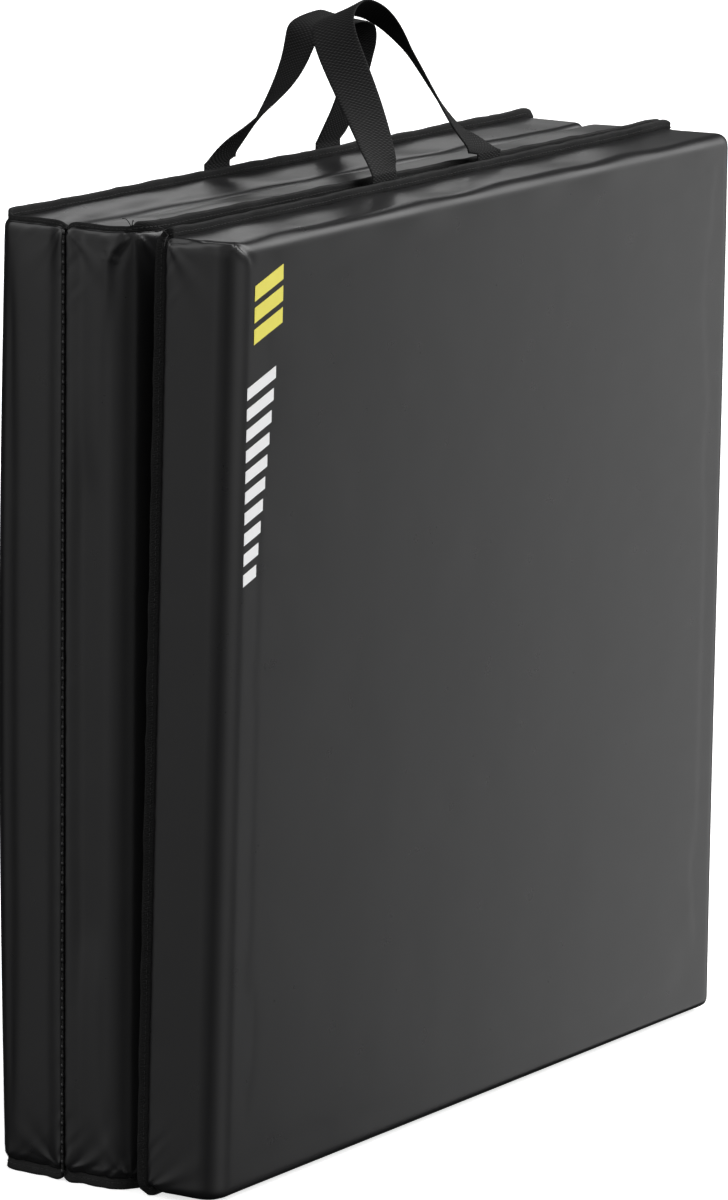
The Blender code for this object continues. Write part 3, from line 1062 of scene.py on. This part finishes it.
def leg(half_span, waist, shoulder, crown, height, steps):
    line = interpolate_bezier(
        Vector((half_span, 0, 0)),
        Vector((waist[0], 0, waist[1])),
        Vector((shoulder, 0, height)),
        Vector((crown, 0, height)),
        steps,
    )
    return np.array([tuple(point) for point in line])


def webbing(name, shape, foot, foot_side, splay, node):
    """A flat woven loop: its rows cross the strap, and weft and warp stand out as relief."""
    steps = 120
    left = leg(-HANDLE_HALF_SPAN, shape["left_waist"], shape["left_shoulder"], shape["crown"], shape["height"], steps)
    right = leg(HANDLE_HALF_SPAN, shape["right_waist"], shape["right_shoulder"], shape["crown"], shape["height"], steps)
    line = np.concatenate([left, right[-2::-1]])
    fine, along = resample(line, WEFT_PITCH / 3)
    crown_at = along[np.argmin(np.abs(fine[:, 0] - shape["crown"]) + np.abs(fine[:, 2] - shape["height"]))]
    before = along <= crown_at
    share = np.where(before, along / crown_at, (along[-1] - along) / (along[-1] - crown_at))
    left_turn = np.interp(share, *np.array(shape["left_twist"], float).T)
    right_turn = np.interp(share, *np.array(shape["right_twist"], float).T)
    turn = np.radians(np.where(before, left_turn, right_turn))
    spread = np.ones(TWIST_BLUR) / TWIST_BLUR
    turn = np.convolve(np.pad(turn, TWIST_BLUR // 2, "edge"), spread, "valid")
    forward = tangents(fine)
    outward = np.stack((-forward[:, 2], np.zeros(len(fine)), forward[:, 0]), 1)
    facing = np.cos(turn)[:, None] * np.array((0, foot_side, 0)) + np.sin(turn)[:, None] * outward
    across = unit(np.cross(forward, facing))
    foot_across = np.stack((np.sign(across[:, 0]), np.zeros(len(fine)), np.zeros(len(fine))), 1)
    squareness = smooth(fine[:, 2] / SQUARE_FOOT_HEIGHT)[:, None]
    across = unit(foot_across * (1 - squareness) + across * squareness)
    facing = unit(np.cross(across, forward))

    sink_rows = int(round(HANDLE_SINK / (WEFT_PITCH / 3)))
    drop = np.arange(sink_rows, 0, -1)[:, None] * (WEFT_PITCH / 3) * np.array((0, 0, -1.0))
    lean_turn = Matrix.Rotation(shape["lean"], 3, "X")
    frame_turn = np.array(Matrix.Rotation(splay, 3, "Z") @ lean_turn)
    sunk_turn = np.array(Matrix.Rotation(splay, 3, "Z"))
    fine = fine @ frame_turn.T
    across = across @ frame_turn.T
    facing = facing @ frame_turn.T
    start_drop = fine[0] + drop @ sunk_turn.T
    end_drop = fine[-1] + drop[::-1] @ sunk_turn.T
    fine = np.concatenate([start_drop, fine, end_drop])
    across = np.concatenate([np.repeat(across[:1], sink_rows, 0), across, np.repeat(across[-1:], sink_rows, 0)])
    facing = np.concatenate([np.repeat(facing[:1], sink_rows, 0), facing, np.repeat(facing[-1:], sink_rows, 0)])
    fine = fine + np.array(foot)

    columns = int(round(WEBBING_WIDTH / (WARP_PITCH / 3)))
    shares = np.linspace(-1, 1, columns + 1)
    width_at = shares * WEBBING_WIDTH / 2
    edge = np.sqrt(np.maximum(1 - np.abs(shares) ** 12, 0))
    row_phase = np.arange(len(fine))[:, None] * 2 * pi / 3
    column_phase = width_at[None, :] / WARP_PITCH * pi
    relief = WEAVE_RELIEF * np.cos(row_phase + pi * (np.floor(column_phase / pi) % 2)) * np.abs(np.cos(column_phase))
    half = WEBBING_THICKNESS / 2 * (0.35 + 0.65 * edge)[None, :] + relief * edge[None, :]
    flat = fine[:, None, :] + across[:, None, :] * width_at[None, :, None]
    top = flat + facing[:, None, :] * half[:, :, None]
    bottom = flat - facing[:, None, :] * half[:, :, None]
    rings = np.concatenate([top, bottom[:, ::-1]], 1)
    sides = rings.shape[1]
    piece = make_mesh(name, rings.reshape(-1, 3), tube_faces(len(fine), sides))
    bm = bmesh.new()
    bm.from_mesh(piece.data)
    bmesh.ops.recalc_face_normals(bm, faces=bm.faces)
    bm.to_mesh(piece.data)
    bm.free()
    weave = piece.data.attributes.new("weave", "FLOAT_VECTOR", "POINT")
    rows = np.repeat(np.arange(len(fine)) * WEFT_PITCH / 3, sides)
    strip = np.tile(np.concatenate([width_at, width_at[::-1]]), len(fine))
    values = np.stack((strip, rows, np.zeros_like(rows)), 1)
    weave.data.foreach_set("vector", values.astype(np.float32).ravel())
    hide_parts(node)
    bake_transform(piece)
    return piece


webbing("rear_webbing_handle", REAR_HANDLE, REAR_FOOT, 1, 0.0, "rear_handle")
webbing("front_webbing_handle", FRONT_HANDLE, FRONT_FOOT, -1, FRONT_SPLAY, "front_handle")


# ---------------------------------------------------------------- prints


def surface_tree(piece):
    evaluated = piece.evaluated_get(bpy.context.evaluated_depsgraph_get())
    return BVHTree.FromObject(evaluated, bpy.context.evaluated_depsgraph_get())


def printed_shape(soup, tree, corners):
    """A four-cornered print laid on the front panel: corners as (x, z), counter-clockwise seen from the front."""
    corners = [Vector(corner) for corner in corners]
    across_steps = max(2, int((corners[1] - corners[0]).length / (3 * MM)))
    up_steps = max(2, int((corners[3] - corners[0]).length / (3 * MM)))
    outer = []
    inner = []
    away = Vector((0, 1, 0))
    for j in range(up_steps + 1):
        for i in range(across_steps + 1):
            low = corners[0].lerp(corners[1], i / across_steps)
            high = corners[3].lerp(corners[2], i / across_steps)
            spot = low.lerp(high, j / up_steps)
            hit, normal, _, _ = tree.ray_cast(Vector((spot.x, -0.4, spot.y)), away)
            if normal.dot(away) > 0:
                normal = -normal
            outer.append(tuple(hit + normal * (PRINT_LIFT + PRINT_THICKNESS)))
            inner.append(tuple(hit + normal * (PRINT_LIFT - 0.1 * MM)))
    count = len(outer)
    row = across_steps + 1
    faces = []
    for j in range(up_steps):
        for i in range(across_steps):
            a = j * row + i
            faces.append((a, a + 1, a + 1 + row, a + row))
            faces.append((count + a, count + a + row, count + a + 1 + row, count + a + 1))
    rim = list(range(row))
    rim += [j * row + across_steps for j in range(1, up_steps + 1)]
    rim += [up_steps * row + i for i in range(across_steps - 1, -1, -1)]
    rim += [j * row for j in range(up_steps - 1, 0, -1)]
    for first, second in zip(rim, rim[1:] + rim[:1]):
        faces.append((first, count + first, count + second, second))
    soup.add(outer + inner, faces)


def print_on_front(name, node, shapes):
    """A group of printed shapes in place of one film."""
    tree = surface_tree(face_sheets["front"])
    soup = Soup()
    for corners in shapes:
        printed_shape(soup, tree, corners)
    piece = soup.make(name, smooth_shaded=False)
    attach(piece, "front")
    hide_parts(node)
    return piece


def slanted_bars(node, count, gap_share, slant, taper):
    """Slanted bars stacked down a film's place, narrowing by the taper towards the last one."""
    low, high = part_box(node)
    pitch = (high.z - low.z - slant) / count
    bar = pitch * (1 - gap_share)
    shapes = []
    for number in range(count):
        width = (high.x - low.x) * (1 - taper * number / max(count - 1, 1))
        top = high.z - number * pitch - slant
        left = low.x
        right = low.x + width
        tilt = slant * width / (high.x - low.x)
        shapes.append(((left, top - bar), (right, top - bar + tilt), (right, top + tilt), (left, top)))
    return shapes


print_on_front("yellow_print", "yellow_print_film", slanted_bars("yellow_print_film", 3, 0.30, 10 * MM, 0.0))
print_on_front("white_print", "white_print_film", slanted_bars("white_print_film", 10, 0.42, 10 * MM, 0.55))


# ---------------------------------------------------------------- materials


class Look:
    """A Principled material with helpers for its texture nodes."""

    def __init__(self, name, colour, roughness):
        self.material = bpy.data.materials.new(name)
        self.material.use_nodes = True
        self.tree = self.material.node_tree
        self.shader = self.tree.nodes["Principled BSDF"]
        self.shader.inputs["Base Color"].default_value = (*colour, 1)
        self.shader.inputs["Roughness"].default_value = roughness
        self.place = self.tree.nodes.new("ShaderNodeTexCoord").outputs["Object"]
        self.last_bump = None

    def link(self, source, target):
        self.tree.links.new(source, target)

    def noise(self, scale, detail=2.0, vector=None, roughness=0.5):
        node = self.tree.nodes.new("ShaderNodeTexNoise")
        node.inputs["Scale"].default_value = scale
        node.inputs["Detail"].default_value = detail
        node.inputs["Roughness"].default_value = roughness
        self.link(vector or self.place, node.inputs["Vector"])
        return node.outputs["Fac"]

    def cells(self, scale, vector=None):
        node = self.tree.nodes.new("ShaderNodeTexVoronoi")
        node.feature = "DISTANCE_TO_EDGE"
        node.inputs["Scale"].default_value = scale
        self.link(vector or self.place, node.inputs["Vector"])
        return node.outputs["Distance"]

    def wave(self, scale, direction, vector=None, distortion=0.0):
        node = self.tree.nodes.new("ShaderNodeTexWave")
        node.bands_direction = direction
        node.inputs["Scale"].default_value = scale
        node.inputs["Distortion"].default_value = distortion
        self.link(vector or self.place, node.inputs["Vector"])
        return node.outputs["Fac"]

    def math(self, operation, first, second):
        node = self.tree.nodes.new("ShaderNodeMath")
        node.operation = operation
        for slot, value in enumerate((first, second)):
            if isinstance(value, (int, float)):
                node.inputs[slot].default_value = value
            else:
                self.link(value, node.inputs[slot])
        return node.outputs["Value"]

    def parts(self, vector):
        node = self.tree.nodes.new("ShaderNodeSeparateXYZ")
        self.link(vector, node.inputs[0])
        return node.outputs

    def remap(self, value, low, high, from_low=0.0):
        node = self.tree.nodes.new("ShaderNodeMapRange")
        node.inputs["From Min"].default_value = from_low
        node.inputs["To Min"].default_value = low
        node.inputs["To Max"].default_value = high
        self.link(value, node.inputs["Value"])
        return node.outputs["Result"]

    def colours(self, value, low, high):
        node = self.tree.nodes.new("ShaderNodeMix")
        node.data_type = "RGBA"
        node.inputs["A"].default_value = (*low, 1)
        node.inputs["B"].default_value = (*high, 1)
        self.link(value, node.inputs["Factor"])
        self.link(node.outputs["Result"], self.shader.inputs["Base Color"])

    def roughness(self, value, low, high):
        self.link(self.remap(value, low, high), self.shader.inputs["Roughness"])

    def bump(self, value, strength, distance):
        node = self.tree.nodes.new("ShaderNodeBump")
        node.inputs["Strength"].default_value = strength
        node.inputs["Distance"].default_value = distance
        self.link(value, node.inputs["Height"])
        if self.last_bump:
            self.link(self.last_bump, node.inputs["Normal"])
        self.last_bump = node.outputs["Normal"]
        self.link(self.last_bump, self.shader.inputs["Normal"])

    def attribute(self, name):
        node = self.tree.nodes.new("ShaderNodeAttribute")
        node.attribute_name = name
        return node.outputs["Vector"]


def vinyl_look():
    """Satin black artificial leather: a fine pebble grain over slow changes of sheen."""
    look = Look("black_vinyl", (0.022, 0.022, 0.023), 0.36)
    slow = look.noise(9, 3)
    look.colours(slow, (0.0125, 0.0125, 0.0132), (0.0175, 0.0175, 0.018))
    look.roughness(look.noise(55, 4), 0.25, 0.33)
    look.bump(look.noise(14, 2), 0.25, 1.2 * MM)
    look.bump(look.cells(900), 0.25, 0.10 * MM)
    look.bump(look.noise(2600, 2), 0.25, 0.05 * MM)
    look.shader.inputs["Specular IOR Level"].default_value = 0.5
    return look.material


def foam_look():
    """Closed-cell foam, light grey and pitted."""
    look = Look("grey_foam", (0.62, 0.63, 0.64), 0.95)
    pits = look.cells(420)
    look.colours(pits, (0.50, 0.51, 0.52), (0.66, 0.67, 0.68))
    look.bump(pits, 0.6, 0.5 * MM)
    return look.material


def tape_look():
    """Woven binding tape: fine ribs both ways over a soft unevenness."""
    look = Look("woven_tape", (0.012, 0.012, 0.012), 0.8)
    ribs = look.math("MULTIPLY", look.wave(420, "DIAGONAL"), look.wave(330, "Z"))
    look.colours(ribs, (0.002, 0.002, 0.002), (0.013, 0.013, 0.0135))
    look.shader.inputs["Specular IOR Level"].default_value = 0.3
    look.roughness(look.noise(160, 3), 0.62, 0.85)
    look.bump(ribs, 0.5, 0.25 * MM)
    look.bump(look.noise(210, 3), 0.4, 0.5 * MM)
    return look.material


def webbing_look():
    """Flat woven webbing, with weft rows and warp columns that follow the strap; its colour is the weave's pattern with
    painted highlights on the raised yarns and painted shade between them.
    """
    look = Look("woven_webbing", (0.010, 0.010, 0.010), 0.7)
    strap = look.parts(look.attribute("weave"))
    weft = look.math("SINE", look.math("MULTIPLY", strap["Y"], 2 * pi / WEFT_PITCH), 0)
    warp = look.math("SINE", look.math("MULTIPLY", strap["X"], pi / WARP_PITCH), 0)
    over = look.remap(look.math("MULTIPLY", weft, warp), 0, 1, -1)
    ribs = look.math("ABSOLUTE", weft, 0)
    yarns_and_painted_highlights = look.math("ADD", look.math("MULTIPLY", over, 0.65), look.math("MULTIPLY", ribs, 0.35))
    fluff = look.noise(1500, 3)
    # The colour follows the yarn relief: the woven pattern, plus painted highlights on the raised yarns and painted
    # shade in the dips between them.
    look.colours(look.math("POWER", yarns_and_painted_highlights, 2.0), (0.0006, 0.0006, 0.0006), (0.034, 0.034, 0.0345))
    look.shader.inputs["Specular IOR Level"].default_value = 0.14
    look.roughness(fluff, 0.55, 0.8)
    look.bump(yarns_and_painted_highlights, 0.8, 0.5 * MM)
    look.bump(fluff, 0.4, 0.1 * MM)
    return look.material


def thread_look():
    """Twisted sewing thread."""
    look = Look("sewing_thread", (0.006, 0.006, 0.006), 0.7)
    twist = look.wave(900, "DIAGONAL")
    look.colours(twist, (0.003, 0.003, 0.003), (0.012, 0.012, 0.012))
    look.bump(twist, 0.5, 0.1 * MM)
    return look.material


def film_look(name, low, high):
    """Heat-bonded film that takes on the grain beneath it."""
    look = Look(name, high, 0.45)
    look.colours(look.noise(70, 3), low, high)
    look.roughness(look.noise(90, 3), 0.38, 0.52)
    look.bump(look.cells(900), 0.2, 0.08 * MM)
    return look.material


looks = {
    "vinyl": vinyl_look(),
    "foam": foam_look(),
    "binding": tape_look(),
    "webbing": webbing_look(),
    "thread": thread_look(),
    "yellow_print": film_look("yellow_film", (0.86, 0.77, 0.115), (0.93, 0.85, 0.15)),
    "white_print": film_look("white_film", (0.90, 0.90, 0.91), (0.96, 0.96, 0.96)),
}
node_slots = {part["node"]: part["material_slot"] for part in frame["record"]["subparts"]}
for name, node in frame["nodes"].items():
    node.data.materials.clear()
    node.data.materials.append(looks[node_slots[name]])
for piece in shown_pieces():
    name = piece.name
    slot = "vinyl"
    if name.endswith("foam_block"):
        slot = "foam"
    elif name.endswith("_tape"):
        slot = "binding"
    elif name.endswith(("stitches", "stitching", "threads")):
        slot = "thread"
    elif name.endswith("webbing_handle"):
        slot = "webbing"
    elif name.endswith("_print"):
        slot = name
    piece.data.materials.clear()
    piece.data.materials.append(looks[slot])


# ---------------------------------------------------------------- stage

floor = make_mesh("floor", [(-12, -12, 0), (12, -12, 0), (12, 12, 0), (-12, 12, 0)], [(0, 1, 2, 3)])
floor_look = Look("pale_floor", (0.93, 0.93, 0.93), 0.8)
floor_look.shader.inputs["Emission Color"].default_value = (1, 1, 1, 1)
floor_look.shader.inputs["Emission Strength"].default_value = 0.7
floor.data.materials.append(floor_look.material)
floor.visible_glossy = False
floor.visible_diffuse = False
floor.visible_shadow = False

CAMERA_PLACE = Vector((-3.889, -2.617, 1.280))
CAMERA_AZIMUTH = radians(-55.91)
CAMERA_ELEVATION = radians(11.51)
CAMERA_ROLL = radians(0.55)
CAMERA_LENS = 221.85
back = Vector(
    (
        sin(CAMERA_AZIMUTH) * cos(CAMERA_ELEVATION),
        -cos(CAMERA_AZIMUTH) * cos(CAMERA_ELEVATION),
        sin(CAMERA_ELEVATION),
    )
)
right = Vector((cos(CAMERA_AZIMUTH), sin(CAMERA_AZIMUTH), 0))
up = back.cross(right)
rolled_right = right * cos(CAMERA_ROLL) + up * sin(CAMERA_ROLL)
rolled_up = up * cos(CAMERA_ROLL) - right * sin(CAMERA_ROLL)
camera = bpy.data.objects.new("camera", bpy.data.cameras.new("camera"))
turned = Matrix((rolled_right, rolled_up, back)).transposed().to_4x4()
camera.matrix_world = Matrix.Translation(CAMERA_PLACE) @ turned
camera.data.lens = CAMERA_LENS
camera.data.clip_end = 60
bpy.context.scene.collection.objects.link(camera)
bpy.context.scene.camera = camera


def softbox(name, place, target, size, power):
    light = bpy.data.lights.new(name, "AREA")
    light.shape = "RECTANGLE"
    light.size, light.size_y = size
    light.energy = power
    lamp = bpy.data.objects.new(name, light)
    lamp.location = place
    lamp.rotation_euler = (Vector(target) - Vector(place)).to_track_quat("-Z", "Y").to_euler()
    bpy.context.scene.collection.objects.link(lamp)
    return lamp


def studio_world():
    """White where the camera looks, and soft pools of light from a few directions for the rest."""
    world = bpy.data.worlds.new("studio")
    bpy.context.scene.world = world
    world.use_nodes = True
    nodes = world.node_tree.nodes
    links = world.node_tree.links
    nodes.clear()
    direction = nodes.new("ShaderNodeTexCoord").outputs["Generated"]
    total = None
    for towards, inner, outer, strength in WORLD_LIGHTS:
        facing = nodes.new("ShaderNodeVectorMath")
        facing.operation = "DOT_PRODUCT"
        facing.inputs[1].default_value = Vector(towards).normalized()
        links.new(direction, facing.inputs[0])
        glow = nodes.new("ShaderNodeMapRange")
        glow.interpolation_type = "SMOOTHSTEP"
        glow.inputs["From Min"].default_value = cos(radians(outer))
        glow.inputs["From Max"].default_value = cos(radians(inner))
        glow.inputs["To Max"].default_value = strength
        links.new(facing.outputs["Value"], glow.inputs["Value"])
        added = nodes.new("ShaderNodeMath")
        added.operation = "ADD"
        links.new(glow.outputs["Result"], added.inputs[0])
        added.inputs[1].default_value = 0
        if total:
            links.new(total, added.inputs[1])
        total = added.outputs["Value"]
    lit = nodes.new("ShaderNodeBackground")
    links.new(total, lit.inputs["Strength"])
    plain = nodes.new("ShaderNodeBackground")
    for background in (lit, plain):
        background.inputs["Color"].default_value = (1, 1, 1, 1)
    ray = nodes.new("ShaderNodeLightPath")
    mix = nodes.new("ShaderNodeMixShader")
    links.new(ray.outputs["Is Camera Ray"], mix.inputs["Fac"])
    links.new(lit.outputs["Background"], mix.inputs[1])
    links.new(plain.outputs["Background"], mix.inputs[2])
    output = nodes.new("ShaderNodeOutputWorld")
    links.new(mix.outputs["Shader"], output.inputs["Surface"])


# Each pool of light: its direction, the angles from it where it starts and stops fading, its strength
WORLD_LIGHTS = (
    ((0.50, -0.50, 0.70), 12, 40, 4.34),
    ((-0.50, 0.50, 0.70), 12, 40, 1.41),
    ((-0.82, 0.54, 0.20), 12, 40, 0.48),
    ((0.00, -1.00, 0.20), 12, 40, 0.47),
    ((-1.00, 0.00, 0.20), 12, 40, 0.37),
    ((0.00, -1.00, 0.50), 30, 80, 0.33),
    ((0.82, 0.54, -0.05), 8, 30, 0.14),
)
studio_world()
softbox("right_softbox", (1.17, -0.36, 0.25), (0.1, -0.08, 0.3), (0.45, 1.4), 1.60)
softbox("low_right_softbox", (1.04, -0.57, 0.17), (0.1, -0.08, 0.3), (0.45, 1.2), 0.86)
softbox("high_softbox", (0.90, 0.70, 1.05), (0.0, 0.0, 0.7), (0.50, 0.5), 0.60)
bpy.context.scene.view_settings.view_transform = "Standard"
